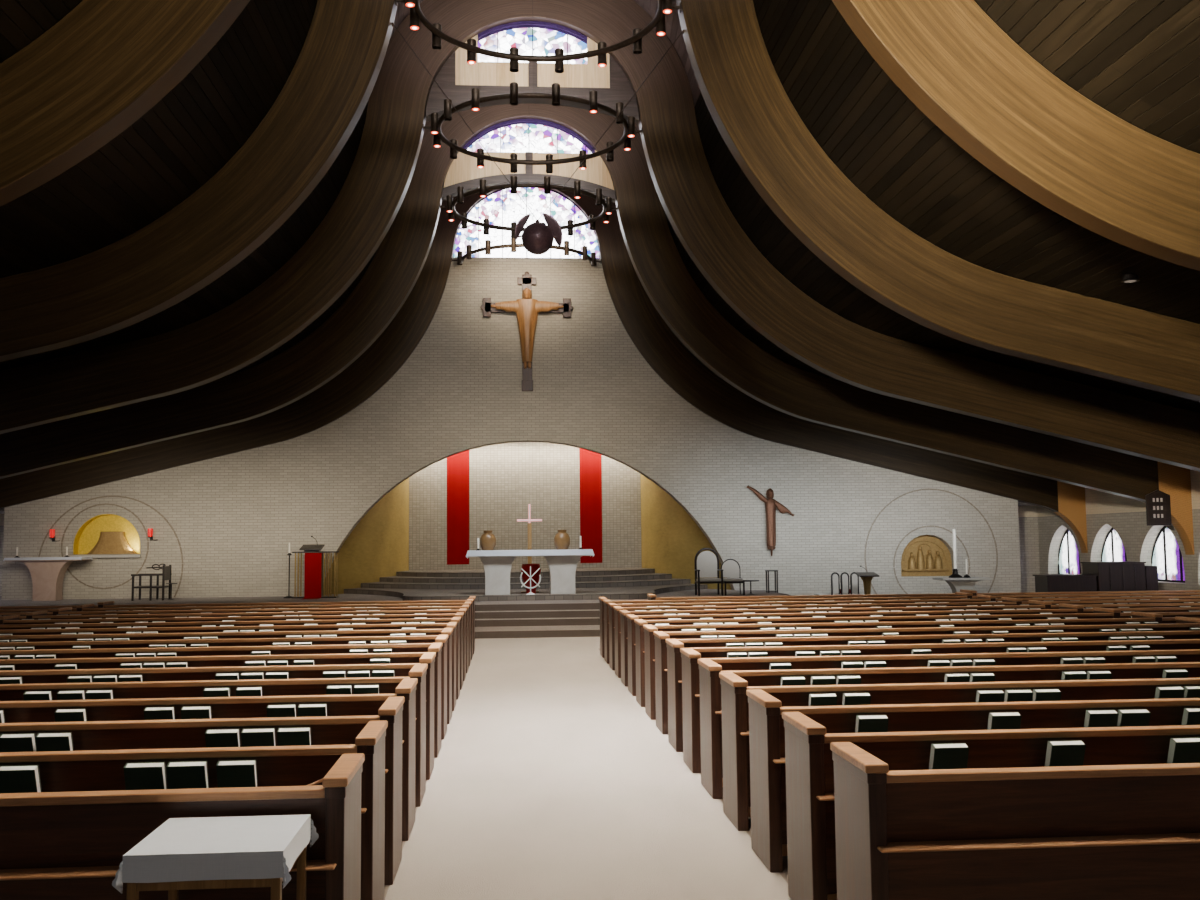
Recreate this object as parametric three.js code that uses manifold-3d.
// Sanctuary end of a modern church nave: six roof bays of bell-shaped laminated timber frames,
// stepped crown hoods with coloured glass lunettes, brick outer walls with pointed windows, and
// the brick sanctuary wall with its arched apse, dais, pews and fittings. Open at the near end.
// Millimetres, +Z up, +X to the right of someone who faces the sanctuary, +Y towards the apse.
import * as THREE from "three";
import { mergeVertices } from "three/addons/utils/BufferGeometryUtils.js";
import Module from "manifold-3d";

const wasm = await Module();
wasm.setup();

// Driving dimensions. Heights are above the nave floor, and y = 0 is the frame over the sanctuary wall.
const gap = 0.3;
const bayLength = 4572;
const bayCount = 6;
const frameCount = bayCount + 1;

const ribThickness = 300;
const ribDepth = 950;
const apexHeight = 10680;
const crownRadius = 1830;
const flareRadius = 5640;
const flareCentreX = 7425;
const eavesSlope = THREE.MathUtils.degToRad(13.5);
const haunchRadius = 1440;
const haunchEnd = THREE.MathUtils.degToRad(82);
const crownSegments = 6;
const flareSegments = 9;
const haunchSegments = 6;

const deckThickness = 150;
const eavesX = 14800;
const lidHeight = 9400;
const roofBackY = 500;

const wallFaceX = 14120;
const outerWallThickness = 400;
const windowPitch = bayLength / 2;
const windowCount = 13;
const windowWidth = 1800;
const windowSill = 700;
const windowSpring = 900;
const windowApex = 2050;
const glassThickness = 12;

const floorThickness = 200;
const frontY = -bayCount * bayLength - ribThickness / 2;

const sanctuaryWall = { front: -50, back: 350, halfWidth: 12390, top: 8800 };
const apseArch = { radius: 5340, centreZ: -1100 };
const niche = { depth: 300, left: { x: -10010, width: 1550, sill: 1550, top: 2510 },
  right: { x: 10020, width: 1410, sill: 780, top: 1830 } };

const apse = { frontHalf: 5100, backHalf: 3300, backY: 4550, sagitta: 350, wall: 300, height: 4600,
  roof: 200 };
const rear = { wallY: 2550, wall: 300, height: 2600, roof: 200 };

const platformHeight = 500;
const platform = { frontY: -5100, leftX: -wallFaceX + gap, rightX: 5840, cornerRadius: 2600 };
const naveStep = { count: 4, ahead: [2060, 860, 430], aside: [900, 600, 300] };
const dais = { frontY: -3700, frontHalf: 2750, cornerRadius: 600, sideCentreX: 8350, sideCentreY: -3100,
  sideRadius: 5600, rise: 120, arcCentreY: 4970, arcRadius: 5400, tread: 760 };

const lunette = { base: 9930, border: 60, wideHalf: 1400, narrowHalf: 940, glass: 20 };
const header = { bottom: 9280, depth: 180, radius: 4800, front: 80 };
const riserThickness = ribThickness / 2;
const crownPost = { width: 150, front: 60 };

const pew = { rows: 17, pitch: 865, firstY: -23980, endLength: 480, endThickness: 75, height: 880,
  leftInner: -980, rightInner: 950, frontRowInner: 1800, outerX: 12300, footSheet: 8 };

const altar = { halfLength: 1330, y: -3200, halfDepth: 380, top: 1560, slab: 130, pedestals: [-700, 700],
  footHalf: 265, flareHalf: 445, flareHeight: 480, pedestalHalfDepth: 270 };
const sideAltar = { x: -11150, y: -550, halfLength: 850, halfDepth: 330, top: 1490, slab: 70, pedestals: [0],
  footHalf: 260, flareHalf: 620, flareHeight: 620, pedestalHalfDepth: 200 };
const credenceTable = { x: 9970, y: -2280, halfLength: 560, halfDepth: 330, top: 820, slab: 50,
  pedestals: [0], footHalf: 150, flareHalf: 430, flareHeight: 480, pedestalHalfDepth: 150 };

const clothTable = { x: -1348, y: -24240, halfTop: 235, halfCloth: 247, top: 755, skirt: 680, leg: 30 };

const cross = { bottom: 5450, top: 8450, armZ: 7540, armHalf: 1150, beam: 240, thickness: 90 };
const banner = { width: 640, centres: [-1920, 1860], bottom: 1130, top: 4560, thickness: 20 };

const ringLight = { frames: [1, 2, 3, 4], radius: 1600, z: 8720, tube: 60, cans: 16, canCircle: 1680,
  canRadius: 68, canHeight: 330, bracket: 40, bracketY: -100 };
const speaker = { x: 170, z: 8090, radius: 340, frame: 2, stayFrame: 4, stayZ: 8440, stayRadius: 8,
  plate: 40 };

const naveGroup = new THREE.Group();
const backY = apse.backY + apse.wall;
naveGroup.position.set(0, -(frontY + backY) / 2, floorThickness);

const paint = (color, roughness, metalness = 0) => new THREE.MeshStandardMaterial({
  color, roughness, metalness,
});
const materials = {
  laminatedTimber: paint(0x8a5a30, 0.45),
  roofBoards: paint(0x4b4038, 0.7),
  colouredGlass: paint(0xcfc8ea, 0.1),
  whiteBrick: paint(0xd2cec6, 0.8),
  greyBrick: paint(0x8b857d, 0.85),
  yellowPlaster: paint(0xc59a2e, 0.7),
  carpet: paint(0xb9aca0, 0.95),
  concrete: paint(0xa7a39c, 0.9),
  roofing: paint(0x6d6a66, 0.85),
  oak: paint(0x7a4a2b, 0.45),
  whiteStone: paint(0xe8e6e0, 0.4),
  whiteCloth: paint(0xf0f0f2, 0.9),
  darkOak: paint(0x5a3524, 0.55),
  redCloth: paint(0xb01c22, 0.85),
  blackMetal: paint(0x2b2725, 0.5, 0.6),
};

function addPiece(name, geometry, material) {
  const mesh = new THREE.Mesh(geometry, material);
  mesh.name = name;
  naveGroup.add(mesh);
}

// Shapes drawn in (x, z), (x, y) or (y, z), and extruded along the third axis.
function outline(points, holes = []) {
  const path = points.map(([a, b]) => new THREE.Vector2(a, b));
  const shape = new THREE.Shape(THREE.ShapeUtils.isClockWise(path) ? path.reverse() : path);
  for (const hole of holes) {
    shape.holes.push(new THREE.Path(hole.map(([a, b]) => new THREE.Vector2(a, b))));
  }
  return shape;
}

function extrude(points, depth, holes) {
  return new THREE.ExtrudeGeometry(outline(points, holes), { depth, bevelEnabled: false, steps: 1 });
}

function prismAlongY(points, yStart, yEnd, holes) {
  return extrude(points, yEnd - yStart, holes).rotateX(Math.PI / 2).translate(0, yEnd, 0);
}

function prismAlongZ(points, zStart, zEnd, holes) {
  return extrude(points, zEnd - zStart, holes).translate(0, 0, zStart);
}

function prismAlongX(points, xStart, xEnd, holes) {
  const turn = new THREE.Matrix4().set(0, 0, 1, 0, 1, 0, 0, 0, 0, 1, 0, 0, 0, 0, 0, 1);
  return extrude(points, xEnd - xStart, holes).applyMatrix4(turn).translate(xStart, 0, 0);
}

function block(x0, x1, y0, y1, z0, z1) {
  const box = new THREE.BoxGeometry(x1 - x0, y1 - y0, z1 - z0);
  return box.translate((x0 + x1) / 2, (y0 + y1) / 2, (z0 + z1) / 2);
}

// Closed meshes become solids that can be joined and cut.
function solid(geometry) {
  const bare = geometry.clone();
  bare.deleteAttribute("normal");
  bare.deleteAttribute("uv");
  const merged = mergeVertices(bare, 1e-3);
  return new wasm.Manifold(new wasm.Mesh({
    numProp: 3,
    vertProperties: new Float32Array(merged.attributes.position.array),
    triVerts: new Uint32Array(merged.index.array),
  }));
}

function fromSolid(body) {
  const mesh = body.getMesh();
  const geometry = new THREE.BufferGeometry();
  geometry.setAttribute("position", new THREE.BufferAttribute(mesh.vertProperties, 3));
  geometry.setIndex(new THREE.BufferAttribute(mesh.triVerts, 1));
  return geometry;
}

const joinAll = (geometries) => fromSolid(geometries.map(solid).reduce((whole, next) => whole.add(next)));
const cutAll = (geometry, cutters) => fromSolid(cutters.map(solid).reduce((rest, next) => rest.subtract(next),
  solid(geometry)));

function arcPoints(centre, radius, from, to, segments) {
  const points = [];
  for (let i = 0; i <= segments; i += 1) {
    const angle = from + (to - from) * i / segments;
    points.push([centre[0] + radius * Math.sin(angle), centre[1] + radius * Math.cos(angle)]);
  }
  return points;
}

// The bell curve of the frames. Every line parallel to the frame's lower edge has the same centres:
// a round crown, a flare that curves the other way, and a straight slope down to the eaves.
const crownCentre = [0, apexHeight - crownRadius];
const centreRise = Math.sqrt((crownRadius + flareRadius) ** 2 - flareCentreX ** 2);
const flareCentre = [flareCentreX, crownCentre[1] + centreRise];
const crownAngle = Math.atan2(flareCentreX, centreRise);

function slopeStart(offset) {
  const radius = flareRadius - offset;
  return [flareCentre[0] - radius * Math.sin(eavesSlope), flareCentre[1] - radius * Math.cos(eavesSlope)];
}

function slopeHeight(offset, x) {
  const [startX, startZ] = slopeStart(offset);
  return startZ - Math.tan(eavesSlope) * (x - startX);
}

const crownArc = (offset) => arcPoints(crownCentre, crownRadius + offset, 0, crownAngle, crownSegments);
const flareArc = (offset) => arcPoints(flareCentre, flareRadius - offset, Math.PI + crownAngle,
  Math.PI + eavesSlope, flareSegments);

function bellCurve(offset, endX) {
  return [...crownArc(offset), ...flareArc(offset).slice(1), [endX, slopeHeight(offset, endX)]];
}

// The round crown from joint to joint, left to right.
const crownOpening = (offset) => [...mirrored(crownArc(offset)), ...crownArc(offset).slice(1)];

const mirrored = (points) => points.map(([x, z]) => [-x, z]).reverse();

// The haunch is the quarter round that turns the frame's lower edge down to the outer wall.
function haunchArc() {
  const [startX, startZ] = slopeStart(0);
  const centreX = wallFaceX - gap - haunchRadius;
  const drop = (haunchRadius + (centreX - startX) * Math.sin(eavesSlope)) / Math.cos(eavesSlope);
  return arcPoints([centreX, startZ - drop], haunchRadius, eavesSlope, haunchEnd, haunchSegments);
}

function ribOutline() {
  const inner = [...crownArc(0), ...flareArc(0).slice(1), ...haunchArc()];
  const legX = wallFaceX - gap;
  const lastZ = inner[inner.length - 1][1];
  const outer = bellCurve(ribDepth, legX).reverse();
  const all = [...inner, [legX, lastZ], ...outer];
  return all.map(([x, z]) => [Math.max(x, gap / 2), z]);
}

function makeRibs() {
  const points = ribOutline();
  for (let frame = 1; frame <= frameCount; frame += 1) {
    const y = -(frame - 1) * bayLength;
    for (const [side, shape] of [["right", points], ["left", mirrored(points)]]) {
      const geometry = prismAlongY(shape, y - ribThickness / 2, y + ribThickness / 2);
      addPiece(`rib_${frame}_${side}`, geometry, materials.laminatedTimber);
    }
  }
}

// Boarded roof slopes that lie on the frames, from the crown joint to the eaves.
function makeDecks() {
  const under = [...flareArc(ribDepth + gap), [eavesX, slopeHeight(ribDepth + gap, eavesX)]];
  const overside = ribDepth + deckThickness;
  const over = [...flareArc(overside), [eavesX, slopeHeight(overside, eavesX)]];
  const points = [...under, ...over.reverse()];
  addPiece("roof_deck_right", prismAlongY(points, frontY, roofBackY), materials.roofBoards);
  addPiece("roof_deck_left", prismAlongY(mirrored(points), frontY, roofBackY), materials.roofBoards);
}

// A crown hood: a boarded shell that starts as a low lid behind one frame and rises to ride over
// the crown of the next. Each cross-section is a closed loop, and loops join along y.
function arcAcross(radius, halfAngle) {
  return arcPoints(crownCentre, radius, -halfAngle, halfAngle, 2 * crownSegments);
}

function lidAcross(edgeX, edgeZ, rise) {
  const points = [];
  for (let i = 0; i <= 2 * crownSegments; i += 1) {
    const x = edgeX * (i / crownSegments - 1);
    points.push([x, edgeZ + rise * (1 - (x / edgeX) ** 2)]);
  }
  return points;
}

function hoodLoops(yStart, yRib, yEnd) {
  const joint = (offset) => crownArc(offset)[crownSegments];
  const [innerX, innerZ] = joint(ribDepth + gap);
  const [outerX, outerZ] = joint(ribDepth + deckThickness);
  const lidRise = lidHeight - innerZ;
  const lid = [lidAcross(innerX, innerZ + gap, lidRise),
    lidAcross(outerX, outerZ + gap, lidRise + deckThickness)];
  const round = [ribDepth + gap, ribDepth + deckThickness].map((offset) => arcAcross(crownRadius + offset,
    crownAngle).map(([x, z]) => [x, z + gap]));
  const mix = (a, b, t) => a.map(([x, z], i) => [x + (b[i][0] - x) * t, z + (b[i][1] - z) * t]);
  const steps = 3;
  const loops = [];
  for (let i = 0; i <= steps; i += 1) {
    const t = i / steps;
    const y = yStart + (yRib - yStart) * t;
    loops.push({ y, inner: mix(lid[0], round[0], t), outer: mix(lid[1], round[1], t) });
  }
  loops.push({ y: yEnd, inner: round[0], outer: round[1] });
  return loops;
}

function loft(loops) {
  const closedLoop = ({ inner, outer }) => [...inner, ...[...outer].reverse()];
  const ring = loops.map((loop) => closedLoop(loop).map(([x, z]) => [x, loop.y, z]));
  const count = ring[0].length;
  const half = count / 2;
  const index = [];
  for (let row = 0; row + 1 < ring.length; row += 1) {
    for (let i = 0; i < count; i += 1) {
      const a = row * count + i;
      const b = row * count + (i + 1) % count;
      index.push(a, a + count, b, b, a + count, b + count);
    }
  }
  for (let i = 0; i + 1 < half; i += 1) {
    const quad = [i, i + 1, count - 2 - i, count - 1 - i];
    const far = quad.map((v) => v + (ring.length - 1) * count);
    index.push(quad[0], quad[1], quad[2], quad[0], quad[2], quad[3]);
    index.push(far[0], far[2], far[1], far[0], far[3], far[2]);
  }
  const geometry = new THREE.BufferGeometry();
  geometry.setAttribute("position", new THREE.Float32BufferAttribute(ring.flat(2), 3));
  geometry.setIndex(index);
  return geometry;
}

const lunetteHalf = (frame) => (frame === 2 ? lunette.wideHalf : lunette.narrowHalf);

function lunetteOutline(half, radius, base) {
  const reach = Math.min(half, Math.sqrt(radius ** 2 - (base - crownCentre[1]) ** 2));
  const angle = Math.asin(reach / radius);
  return [[-reach, base], ...arcPoints(crownCentre, radius, -angle, angle, 8), [reach, base]]
    .filter(([x, z], i, all) => i === 0 || Math.hypot(x - all[i - 1][0], z - all[i - 1][1]) > 1);
}

// The timber front under each hood: a panel with a glazed hole, a header and a centre post. The header
// is arched below, and its top is arched at the second frame and flat at the others.
function riserParts(frame, y) {
  const edge = crownArc(-gap)[crownSegments][0];
  const headerArc = (radius, bottom, reach) => {
    const angle = Math.asin(reach / radius);
    return arcPoints([0, bottom - radius], radius, angle, -angle, 8);
  };
  const lower = headerArc(header.radius, header.bottom, edge);
  const flatTop = [...mirrored(crownArc(-20).slice(-2)), ...crownArc(-20).slice(-2)];
  const archedTop = headerArc(header.radius + header.depth, header.bottom + header.depth,
    edge - 20).reverse();
  const upper = frame === 2 ? archedTop : flatTop;
  const arch = crownOpening(-gap);
  const hole = lunetteOutline(lunetteHalf(frame), crownRadius - lunette.border, lunette.base);
  return [
    prismAlongY([...arch, ...lower], y, y + riserThickness + 20, [hole]),
    prismAlongY([...lower, ...upper], y - header.front, y + riserThickness + 20),
    block(-crownPost.width / 2, crownPost.width / 2, y - crownPost.front, y + 10, header.bottom + 60,
      lunette.base),
  ];
}

function makeHoods() {
  for (let bay = 1; bay <= bayCount; bay += 1) {
    const yFar = -(bay - 1) * bayLength;
    const yNear = -bay * bayLength;
    const yEnd = bay === 1 ? roofBackY : yFar + ribThickness / 2;
    const shell = loft(hoodLoops(yNear + ribThickness / 2 + gap, yFar - ribThickness / 2 - 40, yEnd));
    addPiece(`crown_hood_${bay}`, joinAll([shell, ...riserParts(bay + 1, yNear)]), materials.roofBoards);
  }
}

function makeLunettes() {
  const arch = crownOpening(-gap);
  const sideX = arch[arch.length - 1][0];
  const sill = sanctuaryWall.top + gap;
  const half = lunette.glass / 2;
  addPiece("lunette_glass_1", prismAlongY([[-sideX, sill], ...arch, [sideX, sill]], -half, half),
    materials.colouredGlass);
  for (let frame = 2; frame <= frameCount; frame += 1) {
    const y = -(frame - 1) * bayLength + riserThickness / 2;
    const shape = lunetteOutline(lunetteHalf(frame) - gap, crownRadius - lunette.border - gap,
      lunette.base + gap);
    addPiece(`lunette_glass_${frame}`, prismAlongY(shape, y - half, y + half), materials.colouredGlass);
  }
}

// Outer brick walls with pairs of pointed windows in every bay.
function windowOutline(y) {
  const half = windowWidth / 2;
  const rise = windowApex - windowSpring;
  const radius = (half ** 2 + rise ** 2) / (2 * half);
  const angle = Math.asin(rise / radius);
  const side = (sign) => {
    const points = [];
    for (let i = 0; i <= 4; i += 1) {
      const turn = angle * i / 4;
      const inward = half - radius + radius * Math.cos(turn);
      points.push([y + sign * inward, windowSpring + radius * Math.sin(turn)]);
    }
    return points;
  };
  return [[y - half, windowSill], ...side(-1), ...side(1).reverse().slice(1), [y + half, windowSill]];
}

function makeOuterWalls() {
  const outerX = wallFaceX + outerWallThickness;
  const rearEnd = rear.wallY + rear.wall;
  const section = [[wallFaceX, 0], [outerX, 0], [outerX, slopeHeight(ribDepth, outerX)],
    [wallFaceX, slopeHeight(ribDepth, wallFaceX)]];
  const low = [[wallFaceX, 0], [outerX, 0], [outerX, rear.height - gap], [wallFaceX, rear.height - gap]];
  const holes = [];
  for (let i = 0; i < windowCount; i += 1) {
    holes.push(windowOutline(windowPitch / 2 - i * windowPitch));
  }
  const mirror = new THREE.Matrix4().makeRotationZ(Math.PI);
  for (const side of ["right", "left"]) {
    const flip = side === "left";
    const shape = (points) => (flip ? mirrored(points) : points);
    const body = solid(prismAlongY(shape(section), frontY, roofBackY))
      .add(solid(prismAlongY(shape(low), roofBackY - 100, rearEnd)));
    const span = flip ? [-outerX - 50, -wallFaceX + 50] : [wallFaceX - 50, outerX + 50];
    const cut = holes.reduce((rest, hole) => rest.subtract(solid(prismAlongX(hole, span[0], span[1]))), body);
    addPiece(`outer_wall_${side}`, fromSolid(cut), materials.whiteBrick);
    const glassFront = outerX + gap;
    const glassBack = glassFront + glassThickness;
    const glassSpan = flip ? [-glassBack, -glassFront] : [glassFront, glassBack];
    addPiece(`window_glass_${side}`, block(glassSpan[0], glassSpan[1], frontY + 100, rearEnd - 300,
      windowSill - 60, windowApex + 60), materials.colouredGlass);
  }
}

// The splayed apse walls are arcs in plan that swell towards the room.
const splayChord = [apse.frontHalf - apse.backHalf, apse.backY - sanctuaryWall.back];
const splayLength = Math.hypot(...splayChord);
const splayRadius = (splayLength ** 2 / 4 + apse.sagitta ** 2) / (2 * apse.sagitta);
const splayReach = splayRadius - apse.sagitta;
const splayCentre = [(apse.frontHalf + apse.backHalf) / 2 + splayReach * splayChord[1] / splayLength,
  (sanctuaryWall.back + apse.backY) / 2 + splayReach * splayChord[0] / splayLength];
const splayX = (y, offset) => splayCentre[0] - Math.sqrt((splayRadius - offset) ** 2
  - (y - splayCentre[1]) ** 2);

// The splay as a run of flat facets, all of them ending at the same steps of y.
const splayStep = (apse.backY - sanctuaryWall.back) / 8;

function splayFacetX(y, offset) {
  const start = sanctuaryWall.back + Math.floor((y - sanctuaryWall.back) / splayStep) * splayStep;
  const t = (y - start) / splayStep;
  return splayX(start, offset) * (1 - t) + splayX(start + splayStep, offset) * t;
}

function splayLine(offset, yStart, yEnd) {
  const points = [[splayFacetX(yStart, offset), yStart]];
  for (let y = sanctuaryWall.back; y < yEnd - 1; y += splayStep) {
    if (y > yStart + 1) {
      points.push([splayX(y, offset), y]);
    }
  }
  points.push([splayFacetX(yEnd, offset), yEnd]);
  return points;
}

function makeFloor() {
  const x = wallFaceX + outerWallThickness;
  const rearEnd = rear.wallY + rear.wall;
  const right = [[x, frontY], [x, rearEnd], ...splayLine(apse.wall, rearEnd, backY)];
  addPiece("floor", prismAlongZ([...right, ...mirrored(right)], -floorThickness, -gap), materials.concrete);
}

function makeSanctuaryWall() {
  const lower = flareArc(-gap);
  const jointIndex = lower.findIndex(([, z]) => z < sanctuaryWall.top);
  const [above, below] = [lower[jointIndex - 1], lower[jointIndex]];
  const t = (sanctuaryWall.top - above[1]) / (below[1] - above[1]);
  const topX = above[0] + (below[0] - above[0]) * t;
  const right = [[topX, sanctuaryWall.top], ...lower.slice(jointIndex),
    [sanctuaryWall.halfWidth, slopeHeight(-gap, sanctuaryWall.halfWidth)], [sanctuaryWall.halfWidth, 0]];
  const body = prismAlongY([...right, ...mirrored(right)], sanctuaryWall.front, sanctuaryWall.back);
  const jamb = Math.sqrt(apseArch.radius ** 2 - (platformHeight - apseArch.centreZ) ** 2);
  const angle = Math.asin(jamb / apseArch.radius);
  const arch = [[-jamb, -10], ...arcPoints([0, apseArch.centreZ], apseArch.radius, -angle, angle, 28),
    [jamb, -10]];
  const cutters = [prismAlongY(arch, sanctuaryWall.front - 50, sanctuaryWall.back + 50)];
  for (const { x, width, sill, top } of [niche.left, niche.right]) {
    const head = arcPoints([x, top - width / 2], width / 2, -Math.PI / 2, Math.PI / 2, 12);
    cutters.push(prismAlongY([[x - width / 2, sill], ...head, [x + width / 2, sill]],
      sanctuaryWall.front - 50, sanctuaryWall.front + niche.depth));
  }
  addPiece("sanctuary_wall", cutAll(body, cutters), materials.whiteBrick);
}

function makeApse() {
  const start = sanctuaryWall.back + gap;
  const end = apse.backY - gap;
  const inner = splayLine(0, start, end);
  const outer = splayLine(apse.wall, start, end);
  const splay = [...inner, ...[...outer].reverse()];
  const top = apse.height - gap;
  addPiece("apse_side_wall_right", prismAlongZ(splay, 0, top), materials.yellowPlaster);
  addPiece("apse_side_wall_left", prismAlongZ(mirrored(splay), 0, top), materials.yellowPlaster);
  const halfBack = splayFacetX(apse.backY, apse.wall);
  addPiece("apse_back_wall", block(-halfBack, halfBack, apse.backY, backY, 0, top), materials.greyBrick);
  const edge = [...splayLine(apse.wall, start, apse.backY), [halfBack, backY]];
  addPiece("apse_roof", prismAlongZ([...edge, ...mirrored(edge)], apse.height, apse.height + apse.roof),
    materials.roofing);
}

function makeRearBlock() {
  const end = rear.wallY + rear.wall;
  const wallX = wallFaceX - gap;
  const outerX = wallFaceX + outerWallThickness;
  const splay = (start) => splayLine(apse.wall, start, end).reverse().map(([x, y]) => [x + 1, y]);
  const wallPlan = [[wallX, rear.wallY], [wallX, end], ...splay(rear.wallY)];
  const passageX = sanctuaryWall.halfWidth + gap;
  const ribBack = ribThickness / 2 + gap;
  const wallBack = sanctuaryWall.back + gap;
  const roofPlan = [[passageX, ribBack], [wallX, ribBack], [wallX, roofBackY + gap],
    [outerX, roofBackY + gap], [outerX, end], ...splay(wallBack), [passageX, wallBack]];
  for (const [side, shape] of [["right", (p) => p], ["left", mirrored]]) {
    addPiece(`rear_wall_${side}`, prismAlongZ(shape(wallPlan), 0, rear.height - gap), materials.whiteBrick);
    addPiece(`rear_roof_${side}`, prismAlongZ(shape(roofPlan), rear.height, rear.height + rear.roof),
      materials.roofing);
  }
}

// Platform, the carpeted steps up to it, and the brick dais with three more levels in the apse. The
// round right corner is set out by one distance ahead of the platform and another beside it.
function platformCorner(ahead, aside) {
  const { frontY: edgeY, rightX, cornerRadius } = platform;
  const points = [];
  for (let i = 0; i <= 8; i += 1) {
    const angle = Math.PI / 2 * i / 8;
    points.push([rightX - cornerRadius + (cornerRadius + aside) * Math.sin(angle),
      edgeY + cornerRadius - (cornerRadius + ahead) * Math.cos(angle)]);
  }
  return points;
}

function makePlatform() {
  const { frontY: edgeY, leftX, rightX } = platform;
  const wallY = sanctuaryWall.front - gap;
  const jamb = Math.sqrt(apseArch.radius ** 2 - (platformHeight - apseArch.centreZ) ** 2) - 5;
  const inside = sanctuaryWall.back + gap;
  const right = splayLine(0, inside, apse.backY - gap).map(([x, y]) => [Math.min(x - 1, jamb), y]);
  const passageX = -sanctuaryWall.halfWidth - gap;
  const passageEnd = rear.wallY - gap;
  const plan = [[leftX, edgeY], ...platformCorner(0, 0), [rightX, wallY], [jamb, wallY], ...right,
    ...mirrored(right), [-jamb, wallY], [passageX, wallY], [passageX, passageEnd], [leftX, passageEnd]];
  addPiece("platform", prismAlongZ(plan, 0, platformHeight), materials.carpet);
}

// The steps run along the platform's front and round its corner back to the sanctuary wall. The lowest
// is a deep landing in front.
function makeNaveSteps() {
  const { frontY: edgeY, leftX, rightX } = platform;
  const wallY = sanctuaryWall.front - gap;
  const rise = platformHeight / naveStep.count;
  const planWithin = (ahead, aside, margin) => [[leftX - margin, edgeY - ahead],
    ...platformCorner(ahead, aside), [rightX + aside, wallY + margin], [leftX - margin, wallY + margin]];
  const levels = naveStep.ahead.map((ahead, i) => prismAlongZ(planWithin(ahead, naveStep.aside[i], 0), 0,
    rise * (i + 1)));
  const inside = prismAlongZ(planWithin(gap, gap, 50), -50, platformHeight);
  addPiece("nave_steps", cutAll(joinAll(levels), [inside]), materials.carpet);
}

function makeDais() {
  const { frontHalf, cornerRadius, sideCentreX, sideCentreY, sideRadius, rise, arcCentreY, arcRadius,
    tread } = dais;
  const corner = arcPoints([frontHalf - cornerRadius, dais.frontY + cornerRadius], cornerRadius,
    Math.PI, Math.PI / 2, 5);
  const side = [];
  const sideX = (y) => sideCentreX - Math.sqrt(sideRadius ** 2 - (y - sideCentreY) ** 2);
  const wallAt = (y) => (y < sanctuaryWall.back ? apse.frontHalf : splayFacetX(y, 0)) - 10;
  for (let y = sideCentreY; wallAt(y) > sideX(y); y += 400) {
    side.push([sideX(y), y]);
  }
  const back = apse.backY - gap;
  const within = (start) => splayLine(0, start, back).map(([x, y]) => [x - 1, y]);
  const meetY = side[side.length - 1][1] + 200;
  const level = (points) => [...points, ...mirrored(points)];
  const lowest = level([...corner, ...side, ...within(meetY)]);
  const parts = [prismAlongZ(lowest, platformHeight + gap, platformHeight + rise)];
  for (let i = 0; i < 3; i += 1) {
    const radius = arcRadius - i * tread;
    let endY = arcCentreY - radius;
    while (wallAt(endY) > Math.sqrt(radius ** 2 - (endY - arcCentreY) ** 2)) {
      endY += 10;
    }
    const span = Math.acos((arcCentreY - endY) / radius);
    const front = arcPoints([0, arcCentreY], radius, Math.PI, Math.PI - span, 6).slice(0, -1);
    const bottom = platformHeight + rise * (i + 1) - 20;
    const plan = [...front, ...within(endY)];
    parts.push(prismAlongZ([...plan, ...mirrored(plan.slice(1))], bottom, bottom + 20 + rise));
  }
  addPiece("dais", joinAll(parts), materials.greyBrick);
}

// Pews: one sawn section for seat and back, with a panel at both ends, standing on a foot sheet.
function makePews() {
  for (const [side, innerX, sign] of [["right", pew.rightInner, 1], ["left", pew.leftInner, -1]]) {
    const outerX = sign * pew.outerX;
    const parts = [];
    for (let row = 0; row < pew.rows; row += 1) {
      const y = pew.firstY + row * pew.pitch;
      const isFrontRight = sign === 1 && row === pew.rows - 1;
      const rowX = isFrontRight ? pew.frontRowInner : innerX;
      const [x0, x1] = [Math.min(rowX, outerX), Math.max(rowX, outerX)];
      const sheetStart = Math.max(y - pew.pitch, pew.firstY);
      parts.push(block(x0, x1, sheetStart, y + pew.endLength, 0, pew.footSheet));
      const section = [[105, 110], [30, 830], [80, 830], [125, 460], [470, 445], [470, 400], [150, 415],
        [145, 110]].map(([a, z]) => [y + a, z]);
      parts.push(prismAlongX(section, x0 + pew.endThickness - 10, x1 - pew.endThickness + 10));
      for (const x of [x0, x1 - pew.endThickness]) {
        parts.push(block(x, x + pew.endThickness, y, y + pew.endLength, 0, pew.height));
      }
    }
    addPiece(`pews_${side}`, joinAll(parts), materials.oak);
  }
}

// A stone table: a slab on pedestals whose sides flare out under it in quarter ellipses.
function pedestalTable(table, base) {
  const { x, y, halfLength, halfDepth, top, slab, pedestals, footHalf, flareHalf, flareHeight } = table;
  const underside = top - slab;
  const flare = flareHalf - footHalf;
  const halfOutline = [[footHalf, base]];
  for (let i = 0; i <= 6; i += 1) {
    const angle = Math.PI / 2 * i / 6;
    halfOutline.push([footHalf + flare * (1 - Math.cos(angle)),
      underside - flareHeight * (1 - Math.sin(angle))]);
  }
  halfOutline.push([flareHalf, underside + slab / 2]);
  const parts = [block(x - halfLength, x + halfLength, y - halfDepth, y + halfDepth, underside, top)];
  for (const offset of pedestals) {
    const sides = [...halfOutline, ...mirrored(halfOutline)].map(([px, pz]) => [x + offset + px, pz]);
    parts.push(prismAlongY(sides, y - table.pedestalHalfDepth, y + table.pedestalHalfDepth));
  }
  return joinAll(parts);
}

function makeTables() {
  const daisTop = platformHeight + dais.rise + gap;
  addPiece("altar", pedestalTable({ x: 0, ...altar }, daisTop), materials.whiteStone);
  addPiece("side_altar", pedestalTable(sideAltar, platformHeight + gap), materials.whiteStone);
  addPiece("credence_table", pedestalTable(credenceTable, 0), materials.whiteStone);
}

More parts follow.
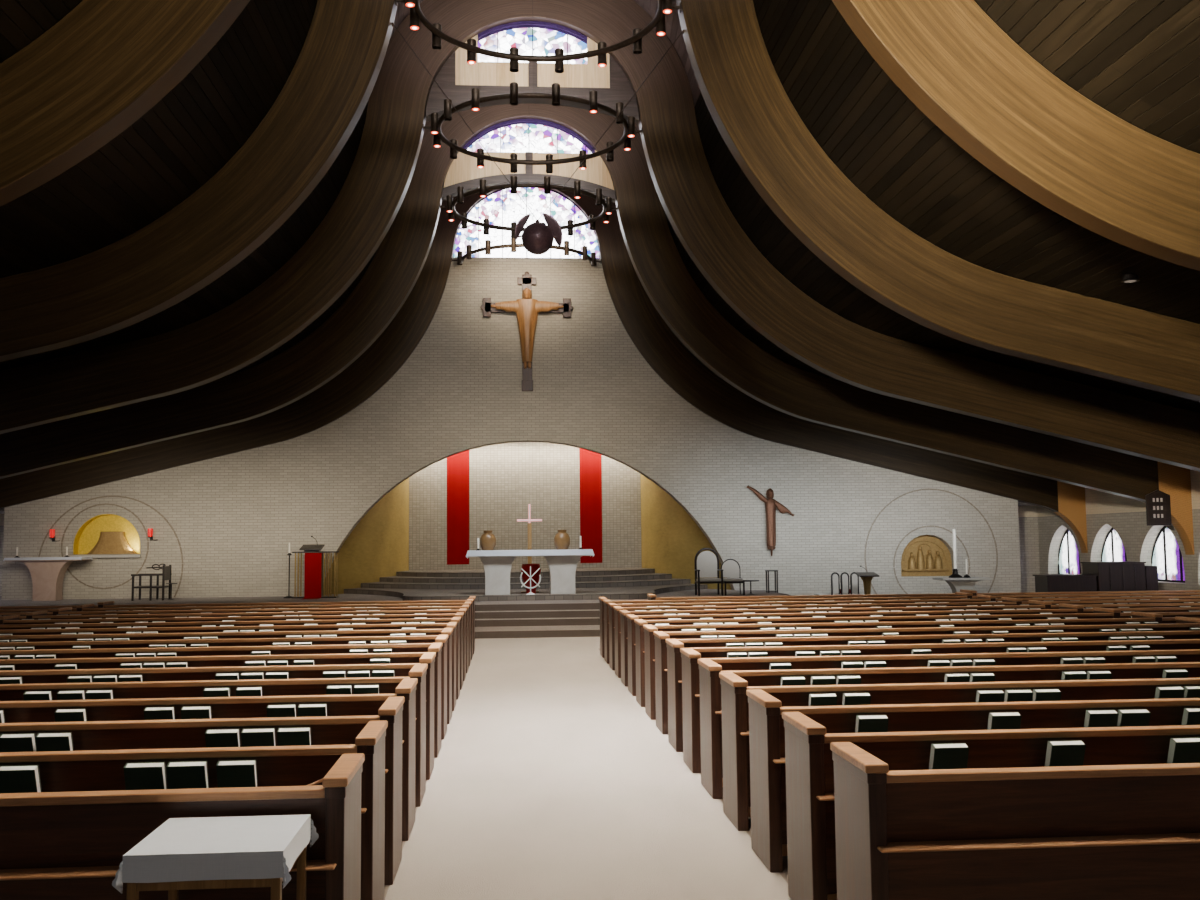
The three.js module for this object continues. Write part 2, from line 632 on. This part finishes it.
// A small square table behind the last pew: four legs, and a top with the cloth that hangs over its edges.
function makeClothTable() {
  const { x, y, halfTop, halfCloth, top, skirt, leg } = clothTable;
  const parts = [block(x - halfCloth, x + halfCloth, y - halfCloth, y + halfCloth, skirt, top)];
  for (const signX of [-1, 1]) {
    for (const signY of [-1, 1]) {
      const [legX, legY] = [x + signX * (halfTop - leg / 2), y + signY * (halfTop - leg / 2)];
      parts.push(block(legX - leg / 2, legX + leg / 2, legY - leg / 2, legY + leg / 2, 0, (skirt + top) / 2));
    }
  }
  addPiece("cloth_table", joinAll(parts), materials.whiteCloth);
}

// The wall cross: beams with square lobes near their ends, and a robed figure on its front.
function makeCross() {
  const { bottom, top, armZ, armHalf, beam, thickness } = cross;
  const back = sanctuaryWall.front - gap;
  const front = back - thickness;
  const half = beam / 2;
  const lobe = 235;
  const parts = [
    block(-half, half, front, back, bottom, top - 60),
    block(-armHalf + 60, armHalf - 60, front, back, armZ - half, armZ + half),
    block(-lobe, lobe, front, back, top - 330, top - 150),
    block(-half - 30, half + 30, front - 20, back, bottom, bottom + 300),
  ];
  for (const sign of [-1, 1]) {
    parts.push(block(sign * 990 - 100, sign * 990 + 100, front, back, armZ - lobe, armZ + lobe));
  }
  const tip = (x, z) => new THREE.CylinderGeometry(90, 90, thickness, 12).translate(x, (front + back) / 2, z);
  for (const [x, z] of [[-armHalf + 90, armZ], [armHalf - 90, armZ], [0, top - 90]]) {
    parts.push(tip(x, z));
  }
  const robe = [[-90, 6050], [90, 6050], [130, 6600], [190, 7150], [290, 7360], [720, 7450], [740, 7640],
    [250, 7740],
    [-250, 7740], [-740, 7640], [-720, 7450], [-290, 7360], [-190, 7150], [-130, 6600]];
  parts.push(prismAlongY(robe, front - 130, front + 5));
  parts.push(new THREE.SphereGeometry(115, 10, 8).scale(0.85, 1, 1.2).translate(0, front - 70, 7860));
  addPiece("wall_cross", joinAll(parts), materials.darkOak);
}

function makeBanners() {
  const back = apse.backY - gap;
  for (const [side, x] of [["left", banner.centres[0]], ["right", banner.centres[1]]]) {
    const half = banner.width / 2;
    addPiece(`banner_${side}`, block(x - half, x + half, back - banner.thickness, back, banner.bottom,
      banner.top), materials.redCloth);
  }
}

// Where the frames' inner edge stands at a height below the crown joint.
function frameInnerX(z) {
  const edge = flareArc(0);
  const next = edge.findIndex(([, edgeZ]) => edgeZ < z);
  const [[x0, z0], [x1, z1]] = [edge[next - 1], edge[next]];
  return x0 + (x1 - x0) * (z0 - z) / (z0 - z1);
}

function rod(x, y, z0, z1, radius) {
  const bar = new THREE.CylinderGeometry(radius, radius, z1 - z0, 6).rotateX(Math.PI / 2);
  return bar.translate(x, y, (z0 + z1) / 2);
}

// Ring lights: a level ring of tube with cans outside it, on a bracket to the frame at each side.
// The one at the sanctuary wall is the near half of such a ring, and ends at the wall.
function makeRingLights() {
  const { frames, radius, z, tube, cans, canCircle, canRadius, canHeight, bracket, bracketY } = ringLight;
  for (const frame of frames) {
    const y = -(frame - 1) * bayLength;
    const ring = new THREE.TorusGeometry(radius, tube / 2, 4, cans).rotateZ(Math.PI / cans);
    const parts = [ring.translate(0, y, z)];
    for (let can = 0; can < cans; can += 1) {
      const angle = 2 * Math.PI * (can + 0.5) / cans;
      const canY = y + canCircle * Math.sin(angle);
      parts.push(rod(canCircle * Math.cos(angle), canY, z - canHeight / 2, z + canHeight / 2, canRadius));
    }
    const reach = frameInnerX(z + bracket / 2) - gap;
    for (const [x0, x1] of [[-reach, -radius + tube], [radius - tube, reach]]) {
      parts.push(block(x0, x1, y + bracketY - bracket / 2, y + bracketY + bracket / 2, z - bracket / 2,
        z + bracket / 2));
    }
    const wallFront = sanctuaryWall.front - gap;
    const behindWall = block(-2 * radius, 2 * radius, wallFront, 2 * radius, z - canHeight, z + canHeight);
    const whole = joinAll(parts);
    addPiece(`ring_light_${frame}`, frame === 1 ? cutAll(whole, [behindWall]) : whole, materials.blackMetal);
  }
}

// A round loudspeaker with two horns, slung on two taut stays from plates on a nearer frame.
function makeSpeaker() {
  const { x, z, radius, frame, stayFrame, stayZ, stayRadius, plate } = speaker;
  const y = -(frame - 1) * bayLength;
  const parts = [new THREE.SphereGeometry(radius, 12, 8).rotateX(Math.PI / 2).translate(x, y, z)];
  const top = new THREE.Vector3(x, y, z + radius - 30);
  for (const sign of [-1, 1]) {
    const horn = new THREE.ConeGeometry(150, 620, 8).rotateX(Math.PI / 2).rotateY(sign * 0.45);
    parts.push(horn.translate(x + sign * 260, y - 60, z + 300));
    const plateX = sign * (frameInnerX(stayZ + plate / 2) - gap);
    const plateY = -(stayFrame - 1) * bayLength;
    const plateSpan = [plateX, plateX - sign * plate].sort((a, b) => a - b);
    parts.push(block(...plateSpan, plateY - plate / 2, plateY + plate / 2, stayZ - plate / 2,
      stayZ + plate / 2));
    const end = new THREE.Vector3(plateX - sign * plate / 2, plateY, stayZ);
    const path = new THREE.LineCurve3(top, end);
    const section = arcPoints([0, 0], stayRadius, 0, 2 * Math.PI, 6).slice(0, -1);
    parts.push(new THREE.ExtrudeGeometry(outline(section), {
      extrudePath: path, steps: 1, bevelEnabled: false,
    }));
  }
  addPiece("hanging_speaker", joinAll(parts), materials.blackMetal);
}

makeFloor();
makePlatform();
makeNaveSteps();
makeDais();
makeSanctuaryWall();
makeApse();
makeRearBlock();
makeOuterWalls();
makeRibs();
makeDecks();
makeHoods();
makeLunettes();
makePews();
makeTables();
makeClothTable();
makeCross();
makeBanners();
makeRingLights();
makeSpeaker();

export default naveGroup;
